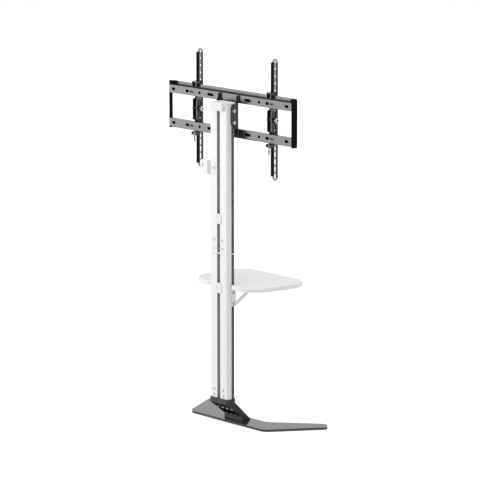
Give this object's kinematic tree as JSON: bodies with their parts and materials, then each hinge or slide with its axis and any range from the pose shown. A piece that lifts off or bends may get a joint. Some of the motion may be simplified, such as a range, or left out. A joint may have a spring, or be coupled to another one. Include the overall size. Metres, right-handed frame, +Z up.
{
  "type": "tv stand with mount",
  "caption": "Free-standing column stand for a flat screen, with a black splayed base, white slotted column, shelf and a rail mount with sliding tilt arms.",
  "frame": {"origin": "centre of the bounding box of the stand at floor level, under the pads", "axes": "+Z up; +Y toward the screen side; +X along the rails"},
  "size_m": [0.684, 0.2826, 1.299],
  "materials": {
    "base_black": "satin powder coat",
    "mount_black": "satin powder coat",
    "foot_casting": "satin powder coat on a casting",
    "column_white": "satin white coating on an extrusion",
    "white_sheet": "satin white powder coat",
    "white_plastic": "fine matt moulding",
    "black_plastic": "fine matt moulding",
    "plain_aluminium": "mill finish",
    "bright_steel": "zinc plated",
    "pad_rubber": "matt"
  },
  "bodies": {
    "base": {"base_plate": "base_black", "base_pads": "pad_rubber", "foot_casting": "foot_casting", "foot_bolts": "bright_steel", "column_lower": "column_white", "column_upper": "column_white", "column_joint_band": "white_plastic", "column_joiners": "plain_aluminium", "joint_screws": "bright_steel", "column_base_screws": "bright_steel", "column_top_cap": "white_plastic", "side_hook": "white_sheet", "side_hook_screw": "bright_steel"},
    "screen_mount": {"upper_rail": "mount_black", "lower_rail": "mount_black", "rail_end_plates": "mount_black", "end_cap_left": "black_plastic", "end_cap_right": "black_plastic", "side_bracket_left": "mount_black", "side_bracket_right": "mount_black", "mount_bracket_screws": "bright_steel", "mount_t_nuts": "bright_steel"},
    "hook_left": {"hook_bracket_left": "mount_black", "spacer_pins_left": "bright_steel", "pivot_bolt_left": "bright_steel"},
    "hook_right": {"hook_bracket_right": "mount_black", "spacer_pins_right": "bright_steel", "pivot_bolt_right": "bright_steel"},
    "arm_l": {"arm_left": "mount_black"},
    "arm_r": {"arm_right": "mount_black"},
    "lock_l": {"lock_screw_left": "bright_steel"},
    "lock_r": {"lock_screw_right": "bright_steel"},
    "shelf": {"shelf_tray": "white_sheet", "shelf_bracket_left": "white_sheet", "shelf_bracket_right": "white_sheet", "shelf_bracket_screws": "bright_steel", "shelf_t_nuts": "bright_steel", "shelf_tray_screws": "bright_steel"},
    "clip_upper": {"cable_clip_upper": "white_plastic"},
    "clip_lower": {"cable_clip_lower": "white_plastic"}
  },
  "joints": [
    {"name": "mount_height", "type": "slide", "parent": "base", "child": "screen_mount", "axis": [0, 0, 1], "range_m": [-0.25, 0]},
    {"name": "shelf_height", "type": "slide", "parent": "base", "child": "shelf", "axis": [0, 0, 1], "range_m": [-0.2, 0.1]},
    {"name": "hook_left_slide", "type": "slide", "parent": "screen_mount", "child": "hook_left", "axis": [1, 0, 0], "range_m": [-0.085, 0.1]},
    {"name": "hook_right_slide", "type": "slide", "parent": "screen_mount", "child": "hook_right", "axis": [1, 0, 0], "range_m": [-0.1, 0.085]},
    {"name": "tilt_left", "type": "hinge", "parent": "hook_left", "child": "arm_l", "pos_m": [-0.2, -0.0545, 1.0885], "axis": [1, 0, 0], "range_deg": [-5, 5]},
    {"name": "tilt_right", "type": "hinge", "parent": "hook_right", "child": "arm_r", "pos_m": [0.2, -0.0545, 1.0885], "axis": [1, 0, 0], "range_deg": [-5, 5]},
    {"name": "lock_left", "type": "slide", "parent": "hook_left", "child": "lock_l", "axis": [0, 0, 1], "range_m": [-0.01, 0]},
    {"name": "lock_right", "type": "slide", "parent": "hook_right", "child": "lock_r", "axis": [0, 0, 1], "range_m": [-0.01, 0]},
    {"name": "clip_upper_slide", "type": "slide", "parent": "base", "child": "clip_upper", "axis": [0, 0, 1], "range_m": [-0.05, 0.12]},
    {"name": "clip_lower_slide", "type": "slide", "parent": "base", "child": "clip_lower", "axis": [0, 0, 1], "range_m": [-0.3, 0.05]}
  ]
}
